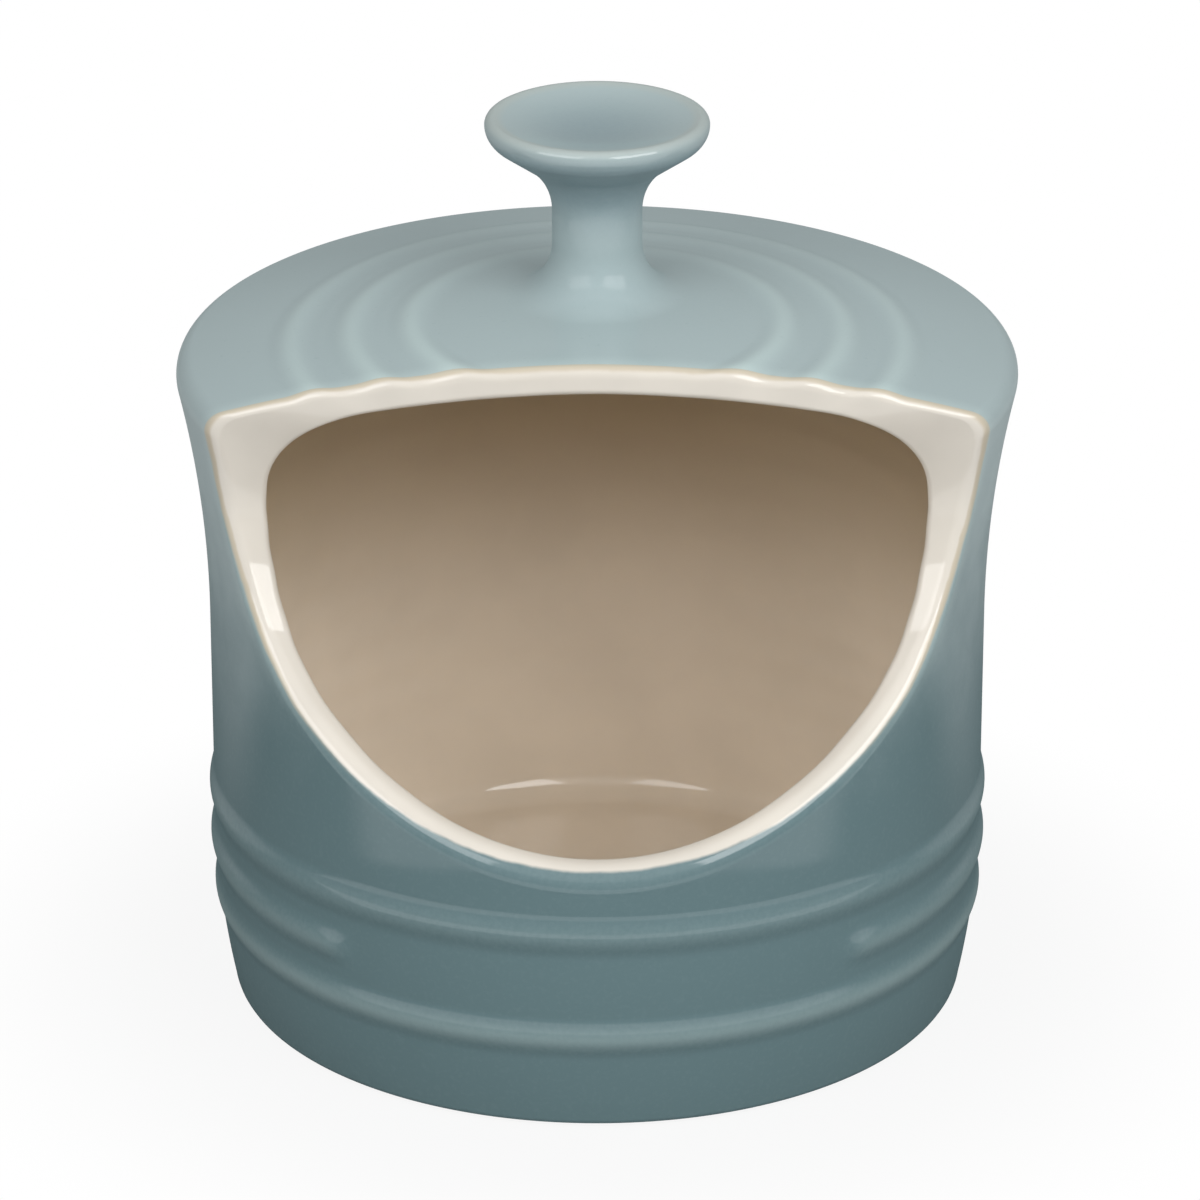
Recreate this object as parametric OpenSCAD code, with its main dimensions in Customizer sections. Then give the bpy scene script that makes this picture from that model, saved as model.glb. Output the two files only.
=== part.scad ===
// Salt crock: a stoneware pot with a domed roof, a wide mouth cut into its front and a
// knob on its crown. The clay members stand on each other in lapped joints, and the
// glaze lies over them in coats. Millimetres, +Z up, the mouth faces -Y, and the
// origin is the middle of the foot on the table.

/* [Body] */
// Widest diameter, at the shoulder
shoulder_d = 120; // [116:0.5:126]
// Height of the widest point above the table
shoulder_z = 94.5; // [91:0.5:99]
// Radius of the shoulder's edge
shoulder_edge_r = 3.2; // [2.4:0.1:4.4]
// Diameter of the straight part of the wall
waist_d = 112; // [109:0.5:113]
// Height over which the wall flares out below the shoulder
flare_h = 36.5; // [30:0.5:44]
// Diameter of the wall at the table, before its edge is rounded
foot_d = 106.4; // [103:0.2:109]
// Height over which the foot swells out to the straight part
swell_h = 26; // [20:0.5:32]
// Radius of the foot's lower edge
foot_edge_r = 1.6; // [1:0.1:2.4]

/* [Walls] */
// Thickness of the wall at its straight part, with both coats
wall_t = 4.8; // [4:0.1:6]
// Thickness of the floor, with its coat
floor_t = 4; // [3:0.1:6]
// Thickness of the roof, with both coats
roof_t = 4.2; // [3.6:0.1:5.4]
// Radius inside between floor and wall
cove_r = 4.5; // [3:0.5:9]
// Radius inside between wall and ceiling
ceiling_r = 13; // [9:0.5:18]
// Thickness of a coat of glaze
glaze_t = 0.5; // [0.3:0.05:0.7]
// Width of the bare clay above the table
bare_foot_h = 0.6; // [0.4:0.1:2.4]

/* [Ribs] */
// Height of the lowest rib above the table
rib_z = 15; // [13.5:0.5:18]
// Distance from rib to rib
rib_pitch = 8; // [7:0.1:9]
// Width of a rib
rib_w = 7; // [5:0.1:7]
// Height of a rib over the wall
rib_h = 0.65; // [0.4:0.05:1]
// Angle of the plain band at the front, where the middle rib stops
band_angle = 80; // [40:1:120]
// Height of the plain band over the wall
band_h = 0.15; // [0.1:0.05:0.3]

/* [Dome] */
// Rise of the crown above the shoulder
dome_rise = 11.8; // [9:0.1:15]
// Radius of the innermost ripple
ripple_rad = 26.4; // [25:0.1:27.5]
// Distance from ripple to ripple
ripple_pitch = 8.5; // [8:0.05:9]
// Width of a ripple
ripple_w = 7.2; // [5:0.1:7.6]
// Height of a ripple over the dome
ripple_h = 0.45; // [0.2:0.05:0.8]
// Distance of the ripples' common centre in front of the crown
ripple_ahead = 8; // [0:0.5:8]

/* [Mouth] */
// Radius of the mouth's hollow, seen from the side
bite_r = 40; // [34:0.5:46]
// Depth from the crock's axis to the deepest point of the mouth
bite_depth = 24; // [21:0.5:28]
// Height of the mouth's deepest point
bite_z = 88; // [84:0.5:91]
// Slope of the lower part of the mouth, from the vertical
mouth_slope = 48; // [42:0.5:54]
// Thickness of the coat on the lip
lip_t = 0.6; // [0.4:0.05:0.9]

/* [Knob] */
// Diameter of the knob's cap
knob_d = 31.8; // [28:0.2:36]
// Height of the knob above the crown
knob_h = 25.9; // [23:0.1:29]
// Diameter of the knob's neck
neck_d = 12.8; // [11:0.2:15]
// Radius between the neck and the dome
knob_foot_r = 7.5; // [5:0.1:8.5]
// Radius between the neck and the cap
cap_flare_r = 8.5; // [6.5:0.1:10]
// Slope at which the cap leaves the neck, from the vertical
cap_slope = 55; // [50:1:62]
// Radius of the cap's edge from its widest point down
cap_edge_r = 3.3; // [2.4:0.1:3.8]
// Radius of the cap's edge from its widest point up
cap_top_r = 1.15; // [0.8:0.05:1.6]
// Depth of the dish in the cap
dish_depth = 2.3; // [1.5:0.1:3]

/* [Joints] */
// Height of the joint between base and wall
base_joint_z = 11; // [9:0.1:11.4]
// Distance of the roof's joint below the shoulder
roof_joint_drop = 3; // [2:0.1:5]
// Height of the laps
lap_h = 2; // [1.2:0.1:2.6]
// Diameter of the knob's peg
peg_d = 9; // [6:0.1:10]
// Length of the knob's peg
peg_l = 2; // [1.2:0.1:2.4]
// Clearance around the peg
peg_gap = 0.15; // [0.05:0.05:0.3]

/* [Hidden] */
$fn = 96;

RIBS = 3;
RIPPLES = 3;
CLEAR = 30;
// Number of straight steps in each stretch of the outlines
FOOT_STEPS = 4;
RIB_STEPS = 38;
FLARE_STEPS = 8;
EDGE_STEPS = 7;
DOME_STEPS = 20;
RIPPLE_STEPS = 12;
ROUND_STEPS = 8;
MOUTH_STEPS = 24;
MOUTH_TOP_STEPS = 12;
MOUTH_FRONT_STEPS = 4;

shoulder_rad = shoulder_d / 2;
waist_rad = waist_d / 2;
crown_z = shoulder_z + dome_rise;

// The swell is an arc that ends upright at the straight part. It turns inwards, and its
// radius is negative, where the foot is wider than the straight part.
swell_in = (waist_d - foot_d) / 2;
swell_rad = (swell_h * swell_h + swell_in * swell_in) / (2 * swell_in);

// The flare is an arc from the straight part to the shoulder's edge, tangent to both. Its
// radius is negative where the straight part is wider than the shoulder.
edge_x = shoulder_rad - shoulder_edge_r;
flare_z = shoulder_z - flare_h;
flare_gap = edge_x - waist_rad;
flare_rad = (flare_gap * flare_gap + flare_h * flare_h - shoulder_edge_r * shoulder_edge_r)
    / (2 * (shoulder_edge_r + flare_gap));
flare_turn = atan(flare_h / (flare_rad - flare_gap));

// The dome is an arc about the axis, tangent to the shoulder's edge
edge_top = crown_z - shoulder_edge_r;
dome_cz = (edge_top * edge_top - edge_x * edge_x - shoulder_z * shoulder_z)
    / (2 * (edge_top - shoulder_z));
dome_rad = crown_z - dome_cz;
dome_turn = atan2(shoulder_z - dome_cz, edge_x);
dome_x = dome_rad * cos(dome_turn);

// The ripples go round an axis through the dome's centre that leans to the front
ripple_lean = asin(ripple_ahead / dome_rad);
// Depth of the ripples' roots in the roof
ripple_root = roof_t / 4;

// The hollow inside follows the foot's swell, the straight wall and the dome
inner_rad = waist_rad - wall_t;
swell_x = waist_rad - swell_rad;
cove_z = floor_t + cove_r;
cove_reach = swell_rad - wall_t - cove_r;
cove_turn = asin((swell_h - cove_z) / cove_reach);
cove_x = swell_x + cove_reach * cos(cove_turn);
ceiling_rad = dome_rad - roof_t;
ceiling_x = inner_rad - ceiling_r;
ceiling_z = dome_cz + sqrt(pow(ceiling_rad - ceiling_r, 2) - pow(ceiling_x, 2));
ceiling_turn = atan2(ceiling_z - dome_cz, ceiling_x);

ribs_top = rib_z + (RIBS - 1) * rib_pitch + rib_w / 2;
band_z = rib_z + rib_pitch;

// The laps stand at the middle of the clay
roof_joint_z = shoulder_z - roof_joint_drop;
base_lap_rad = plain_rad(base_joint_z) - wall_t / 2;
roof_lap_rad = (inner_rad + shoulder_rad) / 2;

// The mouth's hollow is an arc, with a straight slope below that leaves it at a tangent
bite_axis = bite_depth + bite_r;
mouth_reach = shoulder_rad + CLEAR;
mouth_top = crown_z + roof_t;
// Half width of the mouth's lowest edge
mouth_low_half = 0.6;
// Length of the cut's sides in front of the wall's outside and behind it
lip_reach = wall_t + ceiling_r / 2;
// Heights between which the cut's sides turn from the axis to straight across
across_low = bite_z - ceiling_r;
across_high = shoulder_z + roof_joint_drop;

neck_rad = neck_d / 2;
cap_top = crown_z + knob_h;
cap_edge_z = cap_top - cap_top_r;
cap_edge_x = knob_d / 2 - cap_edge_r;
cap_top_x = knob_d / 2 - cap_top_r;
cap_flare_z = cap_edge_z - cap_edge_r * sin(cap_slope)
    - (cap_edge_x + cap_edge_r * cos(cap_slope) - neck_rad - cap_flare_r * (1 - cos(cap_slope)))
    / tan(cap_slope) - cap_flare_r * sin(cap_slope);
knob_foot_x = neck_rad + knob_foot_r;
knob_foot_z = dome_z(knob_foot_x) + knob_foot_r;
// Where the foot's arc starts, just off the dome
knob_foot_turn = 255;
// The dish is an arc about the axis, tangent to the cap's edge
dish_rad = (cap_top_x * cap_top_x + pow(cap_top_r - dish_depth, 2) - cap_top_r * cap_top_r)
    / (2 * dish_depth);
dish_turn = asin(cap_top_x / (dish_rad + cap_top_r));

// A smooth swell of height 1 and width 1 about 0
function swell(t) = abs(t) < 0.5 ? 0.5 + 0.5 * cos(360 * t) : 0;

function sum(list, i = 0) = i < len(list) ? list[i] + sum(list, i + 1) : 0;

function reversed(list) = [for (i = [len(list) - 1:-1:0]) list[i]];

// Points of an arc, without its first where the line before it already ends there
function arc(x, z, r, from, to, steps, first = 1) =
    [for (i = [first:steps])
        let (a = from + (to - from) * i / steps) [x + r * cos(a), z + r * sin(a)]];

// How far an arc of radius r, which starts upright, has moved sideways after a rise
function bend(r, rise) = r - sign(r) * sqrt(r * r - rise * rise);

// Radius of the wall at a height, without ribs
function plain_rad(z) =
    z < swell_h ? waist_rad - bend(swell_rad, swell_h - z) :
    z < flare_z ? waist_rad :
    z < shoulder_z ? waist_rad + bend(flare_rad, z - flare_z) :
    shoulder_rad;

function wall_rad(z) = plain_rad(z)
    + rib_h * sum([for (i = [0:RIBS - 1]) swell((z - rib_z - i * rib_pitch) / rib_w)]);

function dome_z(x) = dome_cz + sqrt(dome_rad * dome_rad - x * x);

// Half outline of the outside, drawn in by a coat's thickness or by none
function outside_path(inset) =
    let (foot_x = plain_rad(foot_edge_r) - foot_edge_r - inset)
    let (wall_x = waist_rad + flare_rad - inset)
    concat(
        [[0, 0], [foot_x, 0]],
        arc(foot_x, foot_edge_r, foot_edge_r, -90, 0, FOOT_STEPS),
        [for (i = [1:RIB_STEPS])
            let (z = foot_edge_r + (ribs_top - foot_edge_r) * i / RIB_STEPS) [wall_rad(z) - inset, z]],
        [[waist_rad - inset, flare_z]],
        arc(wall_x, flare_z, flare_rad, 180, 180 - flare_turn, FLARE_STEPS),
        arc(edge_x, shoulder_z, shoulder_edge_r - inset, -flare_turn, dome_turn, EDGE_STEPS),
        [for (i = [1:DOME_STEPS])
            let (x = dome_x * (1 - i / DOME_STEPS)) [x, dome_z(x) - inset]]
    );

// Half outline of the hollow inside, grown by a coat's thickness or by none
function hollow_path(grow) =
    concat(
        [[0, floor_t - grow], [cove_x, floor_t - grow]],
        arc(cove_x, cove_z, cove_r + grow, -90, -cove_turn, ROUND_STEPS),
        arc(swell_x, swell_h, swell_rad - wall_t + grow, -cove_turn, 0, ROUND_STEPS),
        [[inner_rad + grow, ceiling_z]],
        arc(ceiling_x, ceiling_z, ceiling_r + grow, 0, ceiling_turn, ROUND_STEPS),
        arc(0, dome_cz, ceiling_rad + grow, ceiling_turn, 90, ROUND_STEPS)
    );

// Half outline of the knob from its foot to the middle of its dish
function knob_path(inset) =
    concat(
        [[knob_foot_x - inset, crown_z - roof_t], [knob_foot_x - inset, knob_foot_z - knob_foot_r]],
        arc(knob_foot_x, knob_foot_z, knob_foot_r + inset, knob_foot_turn, 180, ROUND_STEPS),
        [[neck_rad - inset, cap_flare_z]],
        arc(neck_rad + cap_flare_r, cap_flare_z, cap_flare_r + inset, 180, 180 - cap_slope, ROUND_STEPS),
        arc(cap_edge_x, cap_edge_z, cap_edge_r - inset, -cap_slope, 0, ROUND_STEPS, 0),
        arc(cap_top_x, cap_edge_z, cap_top_r - inset, 0, 90 + dish_turn, ROUND_STEPS),
        arc(0, cap_top - dish_depth + dish_rad, dish_rad + inset, dish_turn - 90, -90, ROUND_STEPS)
    );

// Distance of the mouth's cut in front of the axis at a height
function bite_front(z, r) =
    let (slope_z = bite_z - r * sin(mouth_slope))
    z > slope_z ? bite_axis - sqrt(r * r - pow(z - bite_z, 2))
        : bite_axis - r * cos(mouth_slope) + (slope_z - z) * tan(mouth_slope);

function mouth_low(r) = bite_z - r * sin(mouth_slope)
    - (waist_rad - bite_axis + r * cos(mouth_slope)) / tan(mouth_slope);

// One level of the mouth: a fan that starts behind the wall, passes through the cut on
// both sides and ends on a circle in front of the crock. Low down its sides run towards
// the axis, square to the wall, and above the shoulder they run straight across.
function mouth_level(z, r) =
    let (front = bite_front(z, r))
    let (side = sqrt(max(pow(plain_rad(z), 2) - front * front, mouth_low_half * mouth_low_half)))
    let (across = max(0, min(1, (z - across_low) / (across_high - across_low))))
    let (back = front * across * across * (3 - 2 * across))
    let (run = norm([side, front - back]))
    let (dx = side / run, dy = (front - back) / run)
    let (turn = atan2(side + lip_reach * dx, front + lip_reach * dy))
    let (near = [side - lip_reach * dx, front - lip_reach * dy])
    let (far = [side + lip_reach * dx, front + lip_reach * dy])
    concat(
        [[0, -back, z], [near.x, -near.y, z], [far.x, -far.y, z]],
        [for (i = [0:MOUTH_FRONT_STEPS])
            let (a = turn * (1 - 2 * i / MOUTH_FRONT_STEPS))
            [mouth_reach * sin(a), -mouth_reach * cos(a), z]],
        [[-far.x, -far.y, z], [-near.x, -near.y, z]]
    );

// A ripple of the dome: a ring whose crest swells out of the dome and whose root lies in the roof
module ripple(rad, inset) {
    low = rad - ripple_w / 2;
    high = rad + ripple_w / 2;
    crest = [for (i = [0:RIPPLE_STEPS])
        let (t = i / RIPPLE_STEPS, x = low + ripple_w * t)
        [x, dome_z(x) + ripple_h * swell(t - 0.5) - inset]];
    root = [[high, dome_z(high) - inset - ripple_root], [low, dome_z(low) - inset - ripple_root]];
    translate([0, 0, dome_cz])
        rotate([ripple_lean, 0, 0])
            translate([0, 0, -dome_cz])
                rotate_extrude() polygon(concat(crest, root));
}

// The outside of the crock as one solid, with the plain band at the front
module outside(inset) {
    difference() {
        rotate_extrude() polygon(outside_path(inset));
        rotate([0, 0, 270 - band_angle / 2])
            rotate_extrude(angle = band_angle)
                translate([plain_rad(band_z) + band_h - inset, band_z - rib_w / 2])
                    square([CLEAR, rib_w]);
    }
    for (i = [0:RIPPLES - 1]) ripple(ripple_rad + i * ripple_pitch, inset);
}

module hollow(grow) {
    rotate_extrude() polygon(hollow_path(grow));
}

// What the mouth takes away, drawn back by a coat's thickness or by none
module mouth(grow) {
    r = bite_r + grow;
    low = mouth_low(r);
    levels = concat(
        [for (i = [0:MOUTH_STEPS]) low + (bite_z - low) * pow(i / MOUTH_STEPS, 2)],
        [for (i = [1:MOUTH_TOP_STEPS]) bite_z + (mouth_top - bite_z) * i / MOUTH_TOP_STEPS]
    );
    n = len(mouth_level(low, r));
    points = [for (z = levels) each mouth_level(z, r)];
    sides = [for (k = [0:len(levels) - 2], i = [0:n - 1])
        let (a = k * n + i, b = k * n + (i + 1) % n)
        each [[a, b, b + n], [a, b + n, a + n]]];
    // The floor of the cut, in triangles that never join three points of one straight side
    bottom = concat(
        [[n - 1, 1, 0], [n - 1, n - 2, 1], [n - 2, 2, 1], [n - 2, n - 3, 2]],
        [for (i = [3:n - 4]) [i + 1, i, 2]]
    );
    top = [for (i = [0:n - 1]) (len(levels) - 1) * n + i];
    polyhedron(points, concat(sides, bottom, [top]), convexity = 6);
}

// Everything between two heights, wider than the crock
module level_band(low, high) {
    translate([0, 0, low]) cylinder(h = high - low, r = shoulder_rad + CLEAR);
}

// Everything below a lapped joint: its inner half stands higher by the lap
module below_joint(z, lap_rad) {
    union() {
        translate([0, 0, -CLEAR]) cylinder(h = z + CLEAR, r = shoulder_rad + CLEAR);
        translate([0, 0, -CLEAR]) cylinder(h = z + CLEAR + lap_h, r = lap_rad);
    }
}

// The roof's joint turns the lap over: its inner half hangs lower
module above_roof_joint() {
    translate([0, 0, roof_joint_z + lap_h])
        cylinder(h = dome_rise + CLEAR, r = shoulder_rad + CLEAR);
    translate([0, 0, roof_joint_z]) cylinder(h = dome_rise + CLEAR, r = roof_lap_rad);
}

// Floor, cove and foot in one dish of bare clay
module base() {
    color("tan")
        difference() {
            intersection() {
                outside(glaze_t);
                below_joint(base_joint_z, base_lap_rad);
            }
            hollow(glaze_t);
        }
}

module crock_wall() {
    color("burlywood")
        difference() {
            outside(glaze_t);
            below_joint(base_joint_z, base_lap_rad);
            above_roof_joint();
            hollow(glaze_t);
            mouth(lip_t);
        }
}

module dome() {
    color("wheat")
        difference() {
            intersection() {
                outside(glaze_t);
                above_roof_joint();
            }
            hollow(glaze_t);
            mouth(lip_t);
            translate([0, 0, crown_z - glaze_t - peg_l - peg_gap])
                cylinder(h = roof_t, d = peg_d + 2 * peg_gap);
        }
}

module knob() {
    color("tan") {
        difference() {
            rotate_extrude() polygon(concat([[0, crown_z - roof_t]], knob_path(glaze_t)));
            outside(glaze_t);
        }
        translate([0, 0, crown_z - glaze_t - peg_l]) cylinder(h = peg_l + glaze_t, d = peg_d);
    }
}

module wall_glaze() {
    color("cadetblue")
        difference() {
            intersection() {
                outside(0);
                level_band(bare_foot_h, shoulder_z);
            }
            outside(glaze_t);
            mouth(lip_t);
        }
}

module dome_glaze() {
    color("lightsteelblue")
        difference() {
            intersection() {
                outside(0);
                level_band(shoulder_z, crown_z + CLEAR);
            }
            outside(glaze_t);
            mouth(lip_t);
            translate([0, 0, shoulder_z]) cylinder(h = CLEAR, r = knob_foot_x);
        }
}

module knob_glaze() {
    color("lightblue")
        difference() {
            rotate_extrude() polygon(concat(knob_path(0), reversed(knob_path(glaze_t))));
            outside(glaze_t);
        }
}

module liner_glaze() {
    color("antiquewhite")
        difference() {
            rotate_extrude() polygon(concat(hollow_path(glaze_t), reversed(hollow_path(0))));
            mouth(lip_t);
        }
}

module lip_glaze() {
    color("linen")
        difference() {
            intersection() {
                outside(0);
                mouth(lip_t);
            }
            hollow(0);
            mouth(0);
        }
}

base();
crock_wall();
dome();
knob();
wall_glaze();
dome_glaze();
knob_glaze();
liner_glaze();
lip_glaze();
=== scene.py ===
"""Salt crock: a glazed stoneware pot with a domed roof, a scooped mouth and a dished knob.

Everything is in metres, +Z up. The mouth faces -Y, and the foot stands on z = 0.
"""

import math

import bpy
import numpy as np
from bpy.props import FloatProperty, FloatVectorProperty, PointerProperty
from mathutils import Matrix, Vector


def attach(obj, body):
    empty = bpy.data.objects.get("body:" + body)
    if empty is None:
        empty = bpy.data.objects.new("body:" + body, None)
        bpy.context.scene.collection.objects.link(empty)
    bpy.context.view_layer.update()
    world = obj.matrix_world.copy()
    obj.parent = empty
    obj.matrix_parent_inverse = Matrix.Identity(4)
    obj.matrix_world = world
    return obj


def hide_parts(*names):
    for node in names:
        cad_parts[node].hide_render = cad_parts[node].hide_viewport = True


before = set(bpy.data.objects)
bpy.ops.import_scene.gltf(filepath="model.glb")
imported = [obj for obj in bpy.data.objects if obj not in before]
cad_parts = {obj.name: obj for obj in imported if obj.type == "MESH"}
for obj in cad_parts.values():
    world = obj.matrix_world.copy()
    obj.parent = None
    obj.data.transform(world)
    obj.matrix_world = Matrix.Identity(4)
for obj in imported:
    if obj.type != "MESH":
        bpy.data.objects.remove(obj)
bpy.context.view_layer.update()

bl_info = {
    "name": "Salt crock",
    "version": (1, 0, 0),
    "blender": (4, 5, 0),
    "location": "View3D > Sidebar > Crock",
    "description": "Builds a glazed salt crock around its solids and sets it in a small studio",
    "category": "Object",
}

BODY = "root"
COLUMNS = 208  # faces round each row
RIBS = 3
RIPPLES = 3
OUTLINE_STEP = 0.00002  # distance between an outline's points
NORMAL_STEP = 0.00006  # distance over which an outline's slope is taken
TURN_STEP = 0.002  # angle over which a surface's slope is taken
WELD = 1e-6  # points closer than this become one
NO_LENGTH = 1e-16  # a vector shorter than this has no direction
SHARP = math.radians(40)  # folds over this angle stay sharp
RIM_ROUNDS = 6  # rounds in which the angle of a rim settles
CROWDING = 1.9  # how much the rows crowd where the mouth's edge turns level
MM = 1000  # millimetres in a metre
FAR_GAP = 20.0  # distance from the lip, in millimetres, past which nothing changes
JOINT_Z = 0.0135  # height below which the wall's two sides are thin coats on the base
JOINT_RISE = 0.002  # height over which they thicken
FLOOR_DROP = 0.0001  # gap that keeps the foot and the floor apart


def kind_of(maker, **fixed):
    """A kind of setting; each takes its own name, description and default."""
    def setting(name, description, default):
        return maker(name=name, description=description, default=default, **fixed)
    return setting


length = kind_of(FloatProperty, precision=5, unit="LENGTH", subtype="DISTANCE")
radians = kind_of(FloatProperty, unit="ROTATION", subtype="ANGLE")
share = kind_of(FloatProperty, min=0.0, max=1.0, subtype="FACTOR")
colour = kind_of(FloatVectorProperty, min=0.0, max=1.0, size=3, subtype="COLOR")


def angle(name, description, degrees):
    """An angle, written here in degrees."""
    return radians(name, description, math.radians(degrees))


def power(name, watts):
    """The power of a lamp."""
    return FloatProperty(name=name, description="Power in watts", default=watts, unit="POWER")


class CrockBodySizes(bpy.types.PropertyGroup):
    """Sizes of the wall, the dome and the hollow."""

    shoulder_d: length("Shoulder", "Widest diameter", 0.120)
    shoulder_z: length("Shoulder height", "Height of the widest point", 0.0945)
    shoulder_edge_r: length("Shoulder edge", "Radius of the shoulder's edge", 0.0032)
    waist_d: length("Waist", "Diameter of the straight part of the wall", 0.112)
    flare_h: length("Flare", "Height over which the wall flares out below the shoulder", 0.0365)
    foot_d: length("Foot", "Diameter at the table, before its edge is rounded", 0.1064)
    swell_h: length("Swell", "Height over which the foot swells to the straight part", 0.026)
    foot_edge_r: length("Foot edge", "Radius of the foot's lower edge", 0.0016)
    bare_foot_h: length("Bare foot", "Height of the bare clay above the table", 0.0006)
    wall_t: length("Wall", "Thickness of the wall at its straight part", 0.0048)
    floor_t: length("Floor", "Thickness of the floor", 0.004)
    roof_t: length("Roof", "Thickness of the roof", 0.0042)
    cove_r: length("Cove", "Radius inside between floor and wall", 0.0045)
    ceiling_r: length("Ceiling edge", "Radius inside between wall and ceiling", 0.013)
    dome_rise: length("Dome", "Rise of the crown above the shoulder", 0.0118)
    rib_z: length("Lowest rib", "Height of the lowest rib", 0.015)
    rib_pitch: length("Rib pitch", "Distance from rib to rib", 0.008)
    rib_w: length("Rib width", "Width of a rib", 0.007)
    rib_h: length("Rib height", "Height of a rib over the wall", 0.00065)
    band: angle("Plain band", "Angle at the front where the middle rib stops", 80)
    rib_end: angle("Rib end", "Angle over which the middle rib runs out", 6)
    ripple_rad: length("First ripple", "Radius of the innermost ripple on the dome", 0.0264)
    ripple_pitch: length("Ripple pitch", "Distance from ripple to ripple", 0.0085)
    ripple_w: length("Ripple width", "Width of a ripple", 0.0072)
    ripple_h: length("Ripple height", "Height of a ripple over the dome", 0.0006)
    ripple_ahead: length("Ripple shift", "How far the ripples' centre lies in front of the crown", 0.008)
    ring_pitch: length("Throwing rings", "Distance between the faint rings inside", 0.0062)
    ring_h: length("Ring height", "Height of the faint rings inside", 0.00006)
    coat: length("Coat", "Thickness of the glaze where it lies on the base", 0.00045)
    half_wall: length("Half wall", "Thickness of the wall's outer and inner halves", 0.0021)


class CrockMouthSizes(bpy.types.PropertyGroup):
    """Sizes of the mouth and its lip."""

    bite_r: length("Hollow", "Radius of the mouth's hollow, seen from the side", 0.040)
    bite_depth: length("Depth", "Distance of the mouth's deepest point in front of the axis", 0.024)
    bite_z: length("Height", "Height of the mouth's deepest point", 0.088)
    slope: angle("Slope", "Slope of the mouth's lower part, from the vertical", 48)
    sweep: FloatProperty(name="Sweep", description="How fast the upper edge comes forward", default=0.048)
    sweep_in: length("Sweep depth", "How much deeper the upper edge lies in the middle", 0.001)
    round_low: length("Round below", "Rounding of the lip's outside at its lowest point", 0.0027)
    round_side: length("Round at the sides", "Rounding of the lip's outside at the sides", 0.0019)
    round_top: length("Round above", "Rounding of the lip's outside on the dome", 0.0013)
    round_in: length("Round inside", "Rounding of the lip's inside", 0.0012)


class CrockKnobSizes(bpy.types.PropertyGroup):
    """Sizes of the knob."""

    cap_d: length("Cap", "Diameter of the knob's cap", 0.0318)
    height: length("Height", "Height of the knob above the crown", 0.0259)
    neck_d: length("Neck", "Diameter of the knob's neck", 0.0128)
    foot_r: length("Foot", "Radius between the neck and the dome", 0.0075)
    flare_r: length("Flare", "Radius between the neck and the cap", 0.0085)
    slope: angle("Slope", "Slope at which the cap leaves the neck, from the vertical", 55)
    edge_r: length("Edge", "Radius of the cap's edge from its widest point down", 0.0033)
    top_r: length("Upper edge", "Radius of the cap's edge from its widest point up", 0.00115)
    dish: length("Dish", "Depth of the dish in the cap", 0.0023)


class CrockFinish(bpy.types.PropertyGroup):
    """Colours of the glazes and the clay."""

    pale: colour("Pale glaze", "Blue glaze on the dome and the knob", (0.385, 0.472, 0.482))
    deep: colour("Deep glaze", "Blue glaze low on the wall", (0.131, 0.206, 0.221))
    # Painted shade: the knob's neck and the underside of its cap darken towards this colour, and the whole
    # knob a little
    pooled: colour("Pooled glaze", "Blue glaze where it runs together on the knob", (0.115, 0.19, 0.23))
    crest: colour("Thin glaze", "Blue glaze where it thins on ribs and edges", (0.52, 0.64, 0.63))
    tan: colour("Tan edge", "Glaze that breaks over an edge and shows the clay", (0.57, 0.50, 0.38))
    cream: colour("Cream glaze", "Glaze on the lip", (0.735, 0.69, 0.615))
    hollow: colour("Inner glaze", "Cream glaze inside, where it lies thicker", (0.835, 0.742, 0.622))
    # Painted shade: the inner cream glaze darkens towards this colour under the roof
    thick: colour("Thick inner glaze", "Cream glaze under the roof", (0.57, 0.47, 0.33))
    clay: colour("Clay", "Bare fired clay", (0.50, 0.41, 0.30))
    roughness: share("Roughness", "Roughness of the glazes", 0.06)
    edge_dim: share("Edge dimming", "How much of the gloss is lost where the glaze is seen edge on", 0.8)


class CrockStudio(bpy.types.PropertyGroup):
    """Camera and light."""

    lens: FloatProperty(name="Lens", description="Focal length", default=207.1, unit="CAMERA")
    elevation: angle("Elevation", "Height of the camera's line over the level", 23.5)
    distance: length("Distance", "Distance from the camera to the point it looks at", 1.0)
    aim_x: length("Aim across", "Where the camera looks, to the right of the axis", 0.0004)
    aim_z: length("Aim height", "Height of the point the camera looks at", 0.058)
    box_turn: angle("Box turn", "Angle of the two soft boxes to either side of the camera", 41)
    box_rise: angle("Box rise", "Height of the soft boxes over the level", 34)
    box_distance: length("Box distance", "Distance of the soft boxes from the crock", 1.1)
    box_width: length("Box width", "Width of a soft box", 0.85)
    box_height: length("Box height", "Height of a soft box", 0.5)
    left_power: power("Left box", 4.3)
    right_power: power("Right box", 6.6)
    top_power: power("Top box", 4.2)
    top_rise: angle("Top rise", "Height of the top box over the level, ahead of the crock", 60)
    top_size: length("Top size", "Width and height of the top box", 1.6)
    back_power: power("Back box", 2.4)
    back_rise: angle("Back rise", "Height of the back box over the level", 10)
    back_height: length("Back height", "Height of the back box", 0.3)
    sky: share("Sky", "Brightness of the light from all round", 0.28)
    room: share("Room", "How much of the white beyond the table the gloss shows", 0.06)
    floor: share("Floor", "How pale the floor is", 0.5)
    floor_rad: length("Floor radius", "Radius of the table top", 0.48)
    mat_side: length("Matt floor aside", "Reach of the matt floor in reflections, to the sides", 0.124)
    mat_front: length("Matt floor ahead", "Reach of the matt floor in reflections, to the front", 0.144)
    mat: share("Matt floor", "Brightness of the matt part of the floor in reflections", 0.1)
    behind: share("Floor behind", "Brightness of the floor behind the crock in reflections", 0.48)
    floor_white: share("Floor white", "How much of the white the floor shows near the crock", 0.9)


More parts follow.
